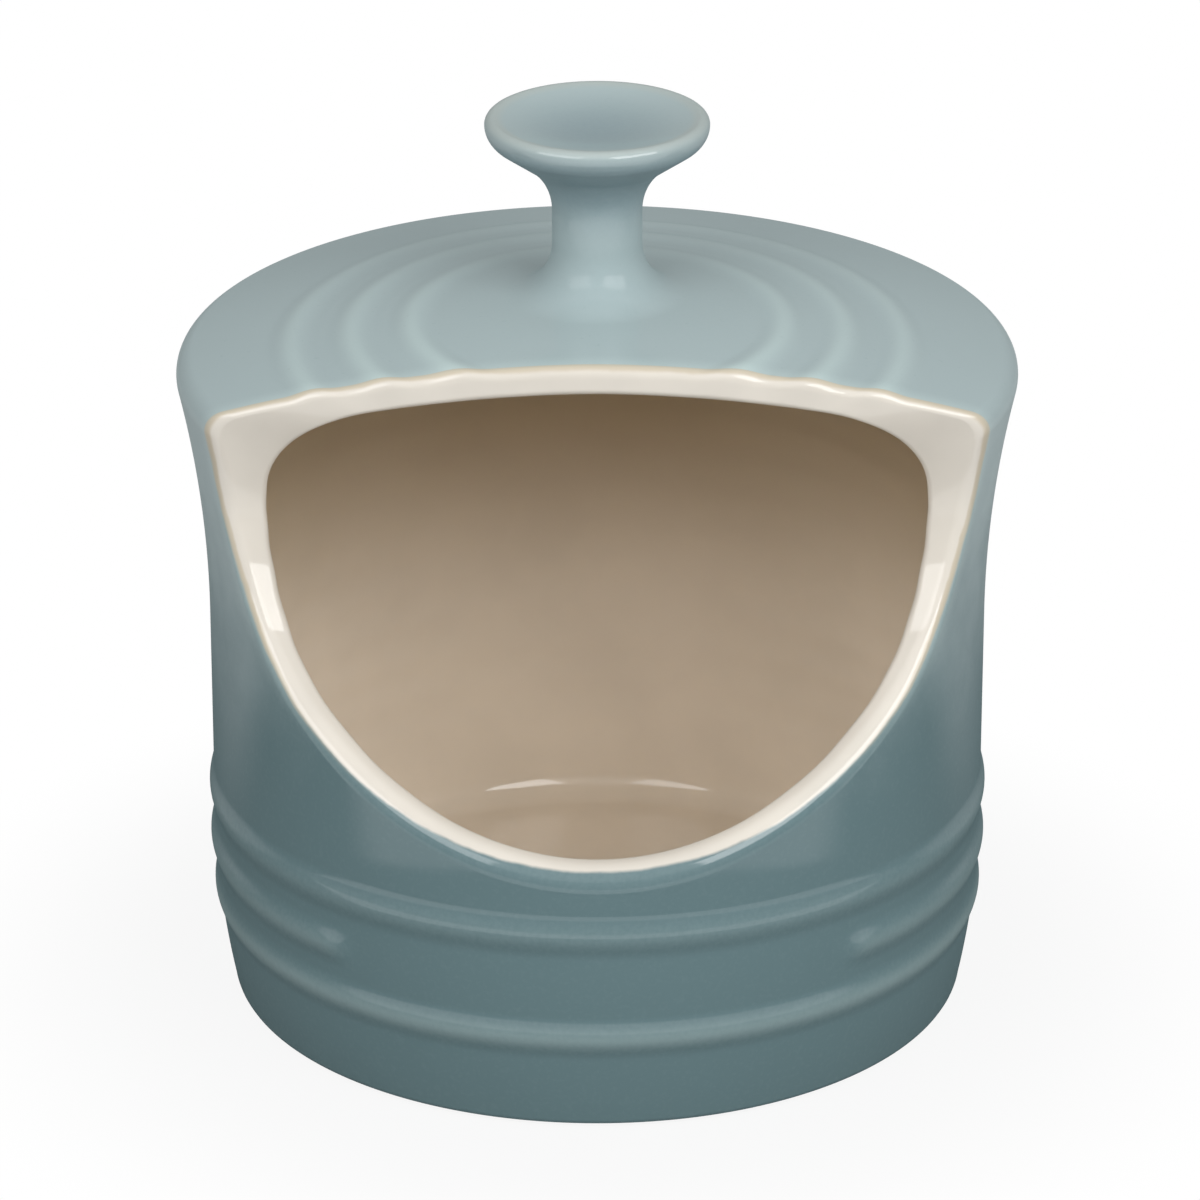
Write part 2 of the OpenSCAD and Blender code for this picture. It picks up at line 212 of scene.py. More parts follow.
class CrockSettings(bpy.types.PropertyGroup):
    """Everything that can be set on the crock."""

    body: PointerProperty(type=CrockBodySizes)
    mouth: PointerProperty(type=CrockMouthSizes)
    knob: PointerProperty(type=CrockKnobSizes)
    finish: PointerProperty(type=CrockFinish)
    studio: PointerProperty(type=CrockStudio)


def swell(t):
    """A smooth hump of height 1 and width 1 about 0: half of one plus the cosine of a full turn."""
    return np.where(np.abs(t) < 0.5, 0.5 + 0.5 * np.cos(2 * np.pi * t), 0.0)


def ease(t):
    """A smooth step from 0 to 1: three squares less two cubes."""
    t = np.clip(t, 0.0, 1.0)
    return t * t * (3 - 2 * t)


def arc(x, z, radius, start, end):
    """Points of an arc in the half outline's plane, one every outline step, without its last point."""
    count = max(2, int(abs(radius * (end - start)) / OUTLINE_STEP))
    turn = np.linspace(start, end, count, endpoint=False)
    return outline_points(x + radius * np.cos(turn), z + radius * np.sin(turn))


def turned(radius, height, turn):
    """Points at a radius and a height, turned about the axis by an angle from the front."""
    return np.stack([radius * np.sin(turn), -radius * np.cos(turn), height + 0 * turn], axis=-1)


def outline_points(x, z):
    """Points of a half outline; either value may be the same all along."""
    return np.stack(np.broadcast_arrays(x, z), axis=-1)


def off_axis(points):
    """Distance from the axis, and height, of each point."""
    return np.hypot(points[..., 0], points[..., 1]), points[..., 2]


def unit(vectors):
    """The vectors divided by their lengths, and the lengths."""
    size = np.linalg.norm(vectors, axis=-1, keepdims=True)
    return vectors / np.maximum(size, NO_LENGTH), size


def rows_between(start, end, count, crowding=1.0):
    """Values from start up to, but without, end; a crowding over 1 draws them towards start."""
    return start + (end - start) * np.linspace(0, 1, count, endpoint=False) ** crowding


class Outline:
    """A half outline: radius and height as functions of the distance run along it."""

    def __init__(self, points):
        self.radius, self.height = points.T
        steps = np.hypot(np.diff(self.radius), np.diff(self.height))
        self.run = np.concatenate([[0.0], np.cumsum(steps)])

    def at(self, run):
        """Radius and height at a distance along the outline; past its ends it stays at its last point."""
        inside = np.clip(run, 0.0, self.run[-1])
        return np.interp(inside, self.run, self.radius), np.interp(inside, self.run, self.height)

    def first_run(self, condition):
        """The distance at which a condition on the outline's own points first holds."""
        return self.run[np.argmax(condition)]


class CrockShape:
    """The crock's outlines and its mouth, worked out from the settings."""

    def __init__(self, crock):
        self.body, self.mouth, self.knob = crock.body, crock.mouth, crock.knob
        body, mouth = self.body, self.mouth
        self.shoulder_rad = body.shoulder_d / 2
        self.waist_rad = body.waist_d / 2
        self.inner_rad = self.waist_rad - body.wall_t
        self.crown_z = body.shoulder_z + body.dome_rise
        swell_in = (body.waist_d - body.foot_d) / 2
        self.swell_rad = (body.swell_h**2 + swell_in**2) / (2 * swell_in)
        self.edge_x = self.shoulder_rad - body.shoulder_edge_r
        self.flare_z = body.shoulder_z - body.flare_h
        gap = self.edge_x - self.waist_rad
        edge_r = body.shoulder_edge_r
        self.flare_rad = (gap**2 + body.flare_h**2 - edge_r**2) / (2 * (edge_r + gap))
        self.flare_turn = math.atan(body.flare_h / (self.flare_rad - gap))
        edge_top = self.crown_z - edge_r
        rise = edge_top - body.shoulder_z
        self.dome_cz = (edge_top**2 - self.edge_x**2 - body.shoulder_z**2) / (2 * rise)
        self.dome_rad = self.crown_z - self.dome_cz
        self.dome_turn = math.atan2(body.shoulder_z - self.dome_cz, self.edge_x)
        self.bite_axis = mouth.bite_depth + mouth.bite_r
        self.mouth_search_z = body.rib_z + (RIBS - 1) * body.rib_pitch
        self.across_low = mouth.bite_z - body.ceiling_r
        past_shoulder = 0.003
        self.across_high = body.shoulder_z + past_shoulder
        self.knob_foot()
        self.outer = Outline(self.outer_points())
        self.inner = Outline(self.inner_points())
        self.trace_mouth()

    def knob_foot(self):
        """The arc between neck and dome touches both: its centre lies one foot radius off each."""
        reach = self.knob.neck_d / 2 + self.knob.foot_r
        span = self.dome_rad + self.knob.foot_r
        self.knob_foot_x = reach
        self.knob_foot_z = self.dome_cz + math.sqrt(span**2 - reach**2)
        self.knob_touch = reach * self.dome_rad / span

    def plain_rad(self, z):
        """Radius of the wall at a height: the arc of the foot's swell, a straight part, the flare's arc."""
        body = self.body
        rise = np.clip(body.swell_h - z, 0, None)
        low = self.waist_rad - self.swell_rad + np.sqrt(self.swell_rad**2 - rise**2)
        rise = np.clip(z - self.flare_z, 0, body.flare_h)
        high = self.flare_rad - np.sqrt(self.flare_rad**2 - rise**2)
        return np.where(z < body.shoulder_z, low + high, self.shoulder_rad)

    def outer_points(self):
        """Half outline of the outside without ribs, from the glaze's lower edge to the knob's foot."""
        body = self.body
        foot_x = self.plain_rad(body.foot_edge_r) - body.foot_edge_r
        start = math.asin(body.bare_foot_h / body.foot_edge_r - 1)
        edge_low = body.shoulder_z - body.shoulder_edge_r * math.sin(self.flare_turn)
        z = np.arange(body.foot_edge_r, edge_low, OUTLINE_STEP)
        x = np.arange(self.dome_rad * math.cos(self.dome_turn), self.knob_touch, -OUTLINE_STEP)
        x = np.append(x, self.knob_touch)
        return np.concatenate([
            arc(foot_x, body.foot_edge_r, body.foot_edge_r, start, 0),
            outline_points(self.plain_rad(z), z),
            arc(self.edge_x, body.shoulder_z, body.shoulder_edge_r, -self.flare_turn, self.dome_turn),
            outline_points(x, self.dome_cz + np.sqrt(self.dome_rad**2 - x**2)),
        ])

    def inner_points(self):
        """Half outline of the hollow, from the middle of the floor to the middle of the ceiling."""
        body = self.body
        ceiling_rad = self.dome_rad - body.roof_t
        self.ceiling_x = self.inner_rad - body.ceiling_r
        self.ceiling_z = self.dome_cz + math.sqrt((ceiling_rad - body.ceiling_r) ** 2 - self.ceiling_x**2)
        turn = math.atan2(self.ceiling_z - self.dome_cz, self.ceiling_x)
        swell_x, swell_rad = self.waist_rad - self.swell_rad, self.swell_rad - body.wall_t
        cove_z = body.floor_t + body.cove_r
        cove_turn = math.asin((body.swell_h - cove_z) / (swell_rad - body.cove_r))
        self.cove_start = swell_x + (swell_rad - body.cove_r) * math.cos(cove_turn)
        self.cove_end = self.cove_start + body.cove_r * (math.pi / 2 - cove_turn)
        floor = np.arange(0.0, self.cove_start, OUTLINE_STEP)
        z = np.arange(body.swell_h, self.ceiling_z, OUTLINE_STEP)
        return np.concatenate([
            outline_points(floor, body.floor_t),
            arc(self.cove_start, cove_z, body.cove_r, -math.pi / 2, -cove_turn),
            arc(swell_x, body.swell_h, swell_rad, -cove_turn, 0),
            outline_points(self.inner_rad, z),
            arc(self.ceiling_x, self.ceiling_z, body.ceiling_r, 0, turn),
            arc(0.0, self.dome_cz, ceiling_rad, turn, math.pi / 2),
            [[0.0, self.dome_cz + ceiling_rad]],
        ])

    def knob_points(self):
        """Half outline of the knob: foot arc, neck, flare arc, straight slope, two edge arcs and dish arc."""
        knob = self.knob
        neck = knob.neck_d / 2
        top = self.crown_z + knob.height
        edge_x, edge_z = knob.cap_d / 2 - knob.edge_r, top - knob.top_r
        top_x = knob.cap_d / 2 - knob.top_r
        start = math.atan2(self.dome_cz - self.knob_foot_z, -self.knob_foot_x)
        out_x = edge_x + knob.edge_r * math.cos(knob.slope) - neck - knob.flare_r * (1 - math.cos(knob.slope))
        flare_z = edge_z - (knob.edge_r + knob.flare_r) * math.sin(knob.slope) - out_x / math.tan(knob.slope)
        dish_rad = (top_x**2 + (knob.top_r - knob.dish) ** 2 - knob.top_r**2) / (2 * knob.dish)
        dish_turn = math.asin(top_x / (dish_rad + knob.top_r))
        neck_z = np.arange(self.knob_foot_z, flare_z, OUTLINE_STEP)
        slope = arc(neck + knob.flare_r, flare_z, knob.flare_r, math.pi, math.pi - knob.slope)
        edge = arc(edge_x, edge_z, knob.edge_r, -knob.slope, 0)
        share_up = np.linspace(0, 1, 200, endpoint=False)[1:, None]
        return np.concatenate([
            arc(self.knob_foot_x, self.knob_foot_z, knob.foot_r, start + 2 * math.pi, math.pi),
            outline_points(neck, neck_z),
            slope,
            slope[-1] + (edge[0] - slope[-1]) * share_up,
            edge,
            arc(top_x, edge_z, knob.top_r, 0, math.pi / 2 + dish_turn),
            arc(0.0, top - knob.dish + dish_rad, dish_rad, dish_turn - math.pi / 2, -math.pi / 2),
            [[0.0, top - knob.dish]],
        ])

    def outside(self, turn, run):
        """The outside at an angle from the front and a distance along the outline. Ribs stand out of
        the wall by their humps, the middle one not in the plain band. Ripples rise off the dome in rings
        about an axis through its centre that leans to the front, and are half as high at the back."""
        body = self.body
        radius, height = self.outer.at(run)
        front = np.abs((turn + np.pi) % (2 * np.pi) - np.pi)
        past_band = ease((front - body.band / 2) / body.rib_end + 0.5)
        ribs = 0.0
        for i in range(RIBS):
            hump = swell((height - body.rib_z - i * body.rib_pitch) / body.rib_w)
            ribs = ribs + hump * (past_band if i == 1 else 1.0)
        ripples = 0.0
        lean = math.asin(body.ripple_ahead / self.dome_rad)
        ahead = radius * np.cos(turn) * math.cos(lean) - (height - self.dome_cz) * math.sin(lean)
        off = np.hypot(radius * np.sin(turn), ahead)
        for i in range(RIPPLES):
            ripples = ripples + swell((off - body.ripple_rad - i * body.ripple_pitch) / body.ripple_w)
        ripples = ripples * (height > body.shoulder_z) * (0.75 + 0.25 * np.cos(turn))
        out = radius + body.rib_h * ribs
        up = height + body.ripple_h * ripples
        crest = np.maximum(ribs, ripples) * np.ones_like(turn + run)
        return turned(out, up, turn), crest

    def inside(self, turn, run):
        """The hollow's surface: its outline turned about the axis, with faint rings from the throwing."""
        body = self.body
        radius, height = self.inner.at(run)
        low, high, fade_low, fade_high = 0.012, 0.088, 0.008, 0.01
        upright = ease((height - low) / fade_low) * ease((high - height) / fade_high)
        rings = body.ring_h * np.sin(2 * np.pi * height / body.ring_pitch) * upright
        return turned(radius + rings, height, turn), 0 * (turn + run)

    def bite_front(self, z, grow, x=0.0):
        """How far in front of the axis the mouth's cut lies at a height: an arc above, its tangent below.
        At the roof the cut lies deeper in the middle and comes forward to the sides."""
        mouth = self.mouth
        radius = mouth.bite_r + grow
        slope_z = mouth.bite_z - radius * math.sin(mouth.slope)
        bow = self.bite_axis - np.sqrt(np.clip(radius**2 - (z - mouth.bite_z) ** 2, 0, None))
        line = self.bite_axis - radius * math.cos(mouth.slope) + (slope_z - z) * math.tan(mouth.slope)
        return np.where(z > slope_z, bow, line) + self.swept(x, z)

    def swept(self, x, z):
        """How far the cut's upper part comes forward: deeper in the middle, more with each step aside."""
        middle, roof_z, roof_h = 0.006, 0.08, 0.014
        aside = np.hypot(x, middle) - middle
        return (self.mouth.sweep * aside - self.mouth.sweep_in) * ease((z - roof_z) / roof_h)

    def inner_front(self, z, grow, x=0.0):
        """The cut where it meets the hollow: under the roof it drops straight down from the dome."""
        roof_h = 0.01
        under_roof = ease((z - self.mouth.bite_z) / roof_h)
        return self.bite_front(z + self.body.roof_t * under_roof, grow, x)

    def outer_rim(self, run, grow):
        """Angle of the mouth's edge on the outside at a distance along the outline."""
        turn = 0 * run
        for _ in range(RIM_ROUNDS):
            points, _ = self.outside(turn, run)
            radius, height = off_axis(points)
            turn = np.arccos(np.clip(self.bite_front(height, grow, points[..., 0]) / radius, -1, 1))
        return turn

    def inner_rim(self, run, grow):
        """Angle of the mouth's edge on the inside: the cut runs level from the outside towards the axis
        low down, turning to straight across at the roof, until it meets the hollow."""
        radius, height = self.inner.at(run)
        across = ease((height - self.across_low) / (self.across_high - self.across_low))
        turn = 0 * run
        for _ in range(RIM_ROUNDS):
            front = self.inner_front(height, grow, radius * np.sin(turn))
            side = np.sqrt(np.clip(self.plain_rad(height) ** 2 - front**2, 0, None))
            back = front * across
            a = side**2 + (front - back) ** 2
            b = 2 * back * (front - back)
            c = back**2 - radius**2
            reach = (-b + np.sqrt(np.clip(b * b - 4 * a * c, 0, None))) / (2 * a)
            turn = np.arctan2(side * reach, back + (front - back) * reach)
        return turn

    def rim_ends(self, surface, outline, cut, grow_low, grow_top):
        """Where along an outline the mouth begins, low on the wall, and ends, on the roof."""
        points, _ = surface(0.0, outline.run)
        radius, height = -points[..., 1], points[..., 2]
        clear = self.plain_rad(height) - cut(height, grow_low)
        wall = (height > self.mouth_search_z) & (height < self.mouth.bite_z)
        low = np.argmax(wall & (clear > 0))
        low_run = np.interp(0, clear[low - 1:low + 1], outline.run[low - 1:low + 1])
        clear = radius - cut(height, grow_top)
        roof = (height > self.mouth.bite_z) & (clear > 0)
        top = len(roof) - 1 - np.argmax(roof[::-1])
        top_run = np.interp(0, -clear[top:top + 2], outline.run[top:top + 2])
        return low_run, top_run

    def trace_mouth(self):
        """Matching points all along the mouth: where the outside ends, the lip's two corners and where
        the inside ends. They are crowded at both ends, where the mouth's edge turns level."""
        body, mouth = self.body, self.mouth
        outer, inner = self.outer, self.inner
        low, top = self.rim_ends(self.outside, outer, self.bite_front, mouth.round_low, mouth.round_top)
        edge = outer.first_run(outer.height >= body.shoulder_z)
        margin = 1.2
        edge_low = edge - margin * self.flare_turn * body.shoulder_edge_r
        edge_top = edge + self.dome_turn * body.shoulder_edge_r
        self.run_out = np.concatenate([
            rows_between(low, edge_low, 66, CROWDING),
            rows_between(edge_low, edge, 4),
            rows_between(edge, edge_top, 14),
            top - (top - rows_between(edge_top, top, 64)) ** CROWDING / (top - edge_top) ** (CROWDING - 1),
            [top],
        ])
        self.shoulder_row = int(np.argmin(np.abs(self.run_out - edge)))
        way = (self.run_out - low) / (top - low)
        side_way, roof_way, roof_fade = 0.35, 0.5, 0.18
        self.round_out = mouth.round_low + (mouth.round_side - mouth.round_low) * ease(way / side_way)
        at_roof = ease((way - roof_way) / roof_fade)
        self.round_out = self.round_out + (mouth.round_top - mouth.round_side) * at_roof
        rim_low, rim_top = self.rim_ends(self.outside, outer, self.bite_front, 0.0, 0.0)
        self.run_rim = self.draw_in(self.run_out, rim_low, rim_top)
        in_low, in_top = self.rim_ends(self.inside, inner, self.inner_front, 0.0, 0.0)
        corner_in = inner.first_run(inner.height >= self.ceiling_z)
        corner_end = corner_in + body.ceiling_r * math.atan2(self.ceiling_z - self.dome_cz, self.ceiling_x)
        level = outer.first_run(outer.height >= self.ceiling_z)
        corner_reach = self.ceiling_x + 0.006
        over = outer.first_run((outer.height > body.shoulder_z) & (outer.radius < corner_reach))
        self.run_rim_in = np.interp(
            self.run_rim, [rim_low, level, over, rim_top], [in_low, corner_in, corner_end, in_top]
        )
        end_low, end_top = self.rim_ends(self.inside, inner, self.inner_front, mouth.round_in, mouth.round_in)
        self.run_in = self.draw_in(self.run_rim_in, end_low, end_top)
        self.rim_out = self.outer_rim(self.run_out, self.round_out)
        self.rim_in = self.inner_rim(self.run_in, mouth.round_in)
        self.rim_out[[0, -1]] = 0.0
        self.rim_in[[0, -1]] = 0.0

    @staticmethod
    def draw_in(run, low, top):
        """Moves a row of distances so that it starts and ends elsewhere, and leaves its middle alone."""
        fade = 0.022
        near_low = np.clip(1 - (run - run[0]) / fade, 0, 1) ** 2
        near_top = np.clip(1 - (run[-1] - run) / fade, 0, 1) ** 2
        return run + (low - run[0]) * near_low + (top - run[-1]) * near_top


def normals_of(surface, turn, run):
    """Unit normals: the cross product of the surface's slopes along its two parameters. A row that
    meets in one point on the axis takes its direction, up or down, from the row beside it."""
    across = surface(turn + TURN_STEP, run)[0] - surface(turn - TURN_STEP, run)[0]
    along = surface(turn, run + NORMAL_STEP)[0] - surface(turn, run - NORMAL_STEP)[0]
    normal, size = unit(np.cross(across, along))
    for pole, beside in ((0, 1), (-1, -2)):
        if size[pole].max() < NO_LENGTH:
            normal[pole] = (0.0, 0.0, np.sign(normal[beside, ..., 2].mean()))
    return normal


class Patch:
    """A grid of points with its normals and its surface values, one patch of a piece."""

    def __init__(self, points, normals, **values):
        self.points, self.normals, self.values = points, normals, values


def back_patch(patch, depth):
    """The hidden back of a patch, one depth behind it."""
    depth = np.broadcast_to(np.asarray(depth)[..., None], patch.points.shape)
    return Patch(patch.points - patch.normals * depth, -patch.normals, **patch.values)


def edge_patch(front, back, pick):
    """A strip that closes the edge between a patch and its back along the picked points."""
    points = np.stack([front.points[pick], back.points[pick]])
    values = {name: np.stack([array[pick]] * 2) for name, array in front.values.items()}
    inward = front.points[pick] * 0
    return Patch(points, np.stack([inward, inward]), **values)


def shell(face, depth, *picks):
    """A patch, its hidden back and the strips that close the picked edges between the two."""
    back = back_patch(face, depth)
    return [face, back, *(edge_patch(face, back, pick) for pick in picks)]


def joint_depth(face, body):
    """Depth of a hidden back: a thin coat beside the base, half of the wall above it."""
    rise = ease((face.points[..., 2] - JOINT_Z) / JOINT_RISE)
    return body.coat + (body.half_wall - body.coat) * rise


def welded_mesh(name, patches):
    """One mesh of all patches. Points closer than the weld distance become one, grid cells become quads,
    or triangles where two corners fell together, and each face is turned to its patch's normals."""
    points = np.concatenate([patch.points.reshape(-1, 3) for patch in patches])
    keys = np.round(points / WELD).astype(np.int64)
    _, kept, index = np.unique(keys, axis=0, return_index=True, return_inverse=True)
    index = index.ravel()
    names = list(patches[0].values)
    cells, normals, values = [], [], {key: [] for key in names}
    start = 0
    for patch in patches:
        rows, columns = patch.points.shape[:2]
        grid = start + np.arange(rows * columns).reshape(rows, columns)
        cell = np.stack([grid[:-1, :-1], grid[:-1, 1:], grid[1:, 1:], grid[1:, :-1]], axis=-1).reshape(-1, 4)
        flat = patch.normals.reshape(-1, 3)
        corner = points[cell]
        facing = np.cross(corner[:, 2] - corner[:, 0], corner[:, 3] - corner[:, 1])
        if (facing * flat[cell - start].mean(axis=1)).sum() < 0:
            cell = cell[:, ::-1]
        cells.append(cell)
        normals.append(flat)
        for key in names:
            values[key].append(np.broadcast_to(patch.values[key], (rows, columns)).ravel())
        start += rows * columns
    cells = np.concatenate(cells)
    normals = np.concatenate(normals)
    values = {key: np.concatenate(parts) for key, parts in values.items()}
    welded = index[cells]
    differ = welded != np.roll(welded, -1, axis=1)
    whole, three = differ.all(axis=1), differ.sum(axis=1) == 3
    corners = np.concatenate([cells[whole].ravel(), cells[three][differ[three]]])
    starts = np.concatenate([np.arange(whole.sum()) * 4, whole.sum() * 4 + np.arange(three.sum()) * 3])
    mesh = bpy.data.meshes.new(name)
    mesh.vertices.add(len(kept))
    mesh.vertices.foreach_set("co", points[kept].astype(np.float32).ravel())
    mesh.loops.add(len(corners))
    mesh.loops.foreach_set("vertex_index", index[corners].astype(np.int32))
    mesh.polygons.add(len(starts))
    mesh.polygons.foreach_set("loop_start", starts.astype(np.int32))
    mesh.update(calc_edges=True)
    if mesh.validate():
        raise RuntimeError(f"{name} has broken faces")
    mesh.shade_smooth()
    mesh.set_sharp_from_angle(angle=SHARP)
    for key in names:
        layer = mesh.attributes.new(key, "FLOAT", "CORNER")
        layer.data.foreach_set("value", values[key][corners].astype(np.float32))
    mesh.normals_split_custom_set(normals[corners])
    return mesh


def place(name, patches, paint, slot, *nodes):
    """Puts a finished and painted piece into the scene, in place of the solids that it stands for."""
    piece = bpy.data.objects.new(name, welded_mesh(name, patches))
    piece.data.materials.append(get_material(paint))
    bpy.context.scene.collection.objects.link(piece)
    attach(piece, BODY)
    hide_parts(*nodes)


class Value:
    """A value that varies over a surface. Sums on it add Math nodes."""

    def __init__(self, shader, socket):
        self.shader, self.socket = shader, socket

    def math(self, operation, *others):
        return self.shader.add("ShaderNodeMath", {"operation": operation}, dict(enumerate(others)))

    def __add__(self, other):
        return self.math("ADD", self, other)

    def __sub__(self, other):
        return self.math("SUBTRACT", self, other)

    def __rsub__(self, other):
        return self.math("SUBTRACT", other, self)

    def __mul__(self, other):
        return self.math("MULTIPLY", self, other)

    __radd__ = __add__
    __rmul__ = __mul__

    def also(self, output):
        """Another output of the same node."""
        return Value(self.shader, self.socket.node.outputs[output])

    def clamped(self):
        """The value, kept between 0 and 1."""
        return self.math("MINIMUM", self.math("MAXIMUM", self, 0.0), 1.0)

    def step(self, low, high):
        """A smooth step from 0 at low to 1 at high."""
        settings = {"interpolation_type": "SMOOTHSTEP"}
        return self.shader.add("ShaderNodeMapRange", settings, {0: self, 1: low, 2: high})


class Shader:
    """The nodes of a material or of the world."""

    def __init__(self, owner):
        owner.use_nodes = True
        self.owner = owner
        self.tree = owner.node_tree

    def add(self, kind, settings=None, inputs=None, output=0):
        """Adds a node: its settings first, then the values or links of its sockets."""
        node = self.tree.nodes.new(kind)
        for key, value in (settings or {}).items():
            setattr(node, key, value)
        for key, value in (inputs or {}).items():
            self.feed(node.inputs[key], value)
        return Value(self, node.outputs[output])

    def feed(self, socket, value):
        """Links a value to a socket, or sets the socket where the value is the same all over."""
        if isinstance(value, Value):
            self.tree.links.new(value.socket, socket)
        else:
            socket.default_value = value

    def set(self, **sockets):
        """Feeds the surface's sockets; a name's underscores are spaces."""
        for key, value in sockets.items():
            self.feed(self.tree.nodes["Principled BSDF"].inputs[key.replace("_", " ")], value)

    def mix(self, amount, low, high):
        """A colour between two colours."""
        settings = {"data_type": "RGBA"}
        low, high = (c if isinstance(c, Value) else (*c, 1.0) for c in (low, high))
        return self.add("ShaderNodeMix", settings, {0: amount, 6: low, 7: high}, 2)

    def place_on_object(self):
        """The point on the object, and its height."""
        point = self.add("ShaderNodeTexCoord", output=3)
        return point, self.add("ShaderNodeSeparateXYZ", inputs={0: point}, output=2)

    def noise(self, point, scale, detail=2.0):
        """Cloudy noise about 0.5; the scale is in features to the metre."""
        return self.add("ShaderNodeTexNoise", inputs={"Vector": point, "Scale": scale, "Detail": detail})

    def value(self, name):
        """A value that the piece's own mesh carries."""
        return self.add("ShaderNodeAttribute", {"attribute_name": name}, output=2)


def blue_coat(shader, finish, point, height):
    """Colour of the blue glaze: deep low on the wall, pale on the dome, thin on crests and by the lip.
    Its steps run over heights in metres, or over gaps to the lip in millimetres."""
    cloud = shader.noise(point, 90.0, 3.0)
    grain = shader.noise(point, 1400.0, 2.0)
    up = (height + (cloud - 0.5) * 0.02).step(0.045, 0.094)
    sheet = shader.mix(up, finish.deep, finish.pale)
    # Painted shade under the knob's cap, and a slightly deeper tone over the whole knob
    base = shader.mix(shader.value("pool") * 0.62, sheet, finish.pooled)
    crest = shader.value("crest")
    gap = shader.value("gap")
    pale_crest = 0.24 - 0.16 * height.step(0.016, 0.030) + 0.56 * height.step(0.080, 0.096)
    near = 0.10 + 0.22 * height.step(0.048, 0.068) + 0.30 * height.step(0.095, 0.1)
    by_lip = (1 - gap.step(0.0, 2.6 + 1.6 * height.step(0.048, 0.06))) * near
    thin = crest * crest * pale_crest + by_lip + height.step(0.101, 0.1045) * 0.06
    thinned = shader.mix((thin + (grain - 0.5) * 0.10).clamped(), base, finish.crest)
    speckled = shader.mix(grain.step(0.62, 0.80) * 0.10, thinned, finish.deep)
    edge = (1 - gap.step(0.1, 1.3)) * height.step(0.050, 0.070)
    return shader.mix(edge * 0.5 + shader.value("warm") * 0.16, speckled, finish.tan)


def cream_coat(shader, cream, point):
    """Colour of a cream glaze, a little uneven."""
    cloud = shader.noise(point, 60.0, 3.0)
    darker = tuple(0.93 * c for c in cream)
    return shader.mix(cloud.step(0.3, 0.75), cream, darker)


def glazed(shader, finish, point, base):
    """A glaze over its matt body: a clear gloss, weaker where it is seen edge on, and a faint unevenness."""
    edge_on = shader.add("ShaderNodeLayerWeight", inputs={"Blend": 0.5}, output=1)
    facing = 1 - edge_on.step(0.45, 0.95) * finish.edge_dim
    wave = shader.noise(point, 160.0, 1.0)
    shader.set(
        Base_Color=base,
        Roughness=0.5,
        Specular_IOR_Level=0.0,
        Coat_Weight=facing * (1 - 0.7 * shader.value("dull")),
        Coat_Roughness=finish.roughness,
        Normal=shader.add("ShaderNodeBump", inputs={"Strength": 0.25, "Distance": 0.0002, "Height": wave}),
    )


def blue_glaze(shader, finish):
    """Gloss blue-grey glaze."""
    point, height = shader.place_on_object()
    glazed(shader, finish, point, blue_coat(shader, finish, point, height))


def lip_glaze(shader, finish):
    """Blue glaze that breaks tan over the lip's edge and gives way to cream."""
    point, height = shader.place_on_object()
    over = shader.value("over") + (shader.noise(point, 260.0, 3.0) - 0.5) * 0.6
    blue = blue_coat(shader, finish, point, height)
    cream = cream_coat(shader, finish.cream, point)
    wide = height.step(0.088, 0.096)
    broken = over.step(-0.8 - 0.8 * wide, -0.2) - over.step(0.15, 0.6 + 0.3 * wide)
    tan = broken * height.step(0.046, 0.066)
    under = shader.mix(over.step(-0.35, 0.35), blue, cream)
    glazed(shader, finish, point, shader.mix(tan * 0.85, under, finish.tan))


def cream_glaze(shader, finish):
    """Gloss cream glaze inside, darkened towards the roof by painted shade."""
    point, height = shader.place_on_object()
    # Painted shade, growing towards the roof
    thick = height.step(0.035, 0.078)
    base = shader.mix(thick, cream_coat(shader, finish.hollow, point), finish.thick)
    glazed(shader, finish, point, base)


def bare_clay(shader, finish):
    """Matt fired clay with grog in it."""
    point, _ = shader.place_on_object()
    grog = shader.noise(point, 1100.0, 4.0)
    darker = tuple(0.72 * c for c in finish.clay)
    shader.set(
        Base_Color=shader.mix(grog.step(0.35, 0.7), finish.clay, darker),
        Roughness=0.85,
        Normal=shader.add("ShaderNodeBump", inputs={"Strength": 0.5, "Distance": 0.0003, "Height": grog}),
    )


def get_material(paint):
    """The material named for its paint, made the first time it is asked for."""
    name = paint.__name__.replace("_", " ")
    material = bpy.data.materials.get(name)
    if material is None:
        material = bpy.data.materials.new(name)
        paint(Shader(material), bpy.context.scene.crock.finish)
    return material


def gap_to_lip(points, shape):
    """Distance from the mouth's cut in millimetres, seen from the side: to its arc, or to its slope."""
    mouth = shape.mouth
    forward, height = -points[..., 1], points[..., 2]
    forward = forward - shape.swept(points[..., 0], height)
    bow = np.hypot(forward - shape.bite_axis, height - mouth.bite_z) - mouth.bite_r
    line = (shape.bite_front(height, 0.0) - forward) * math.cos(mouth.slope)
    slope_z = mouth.bite_z - mouth.bite_r * math.sin(mouth.slope)
    return np.clip(np.where(height > slope_z, bow, line), 0, FAR_GAP / MM) * MM


def turned_out(points, normals, outwards):
    """Normals of a surface, turned round where they don't point away from the axis, or towards it."""
    away = (points[..., :2] * normals[..., :2]).sum()
    return -normals if (away < 0) == outwards else normals


def skin(surface, rim, run, shape, outwards=True):
    """A patch of a surface: rows at distances along its outline, columns from the mouth's right edge
    round the back to its left edge. It faces away from the axis, or towards it."""
    turn = rim[:, None] + (2 * np.pi - 2 * rim[:, None]) * np.linspace(0, 1, COLUMNS + 1)
    rows = run[:, None] + 0 * turn
    points, crest = surface(turn, rows)
    normals = turned_out(points, normals_of(surface, turn, rows), outwards)
    return Patch(points, normals, crest=crest, gap=gap_to_lip(points, shape))


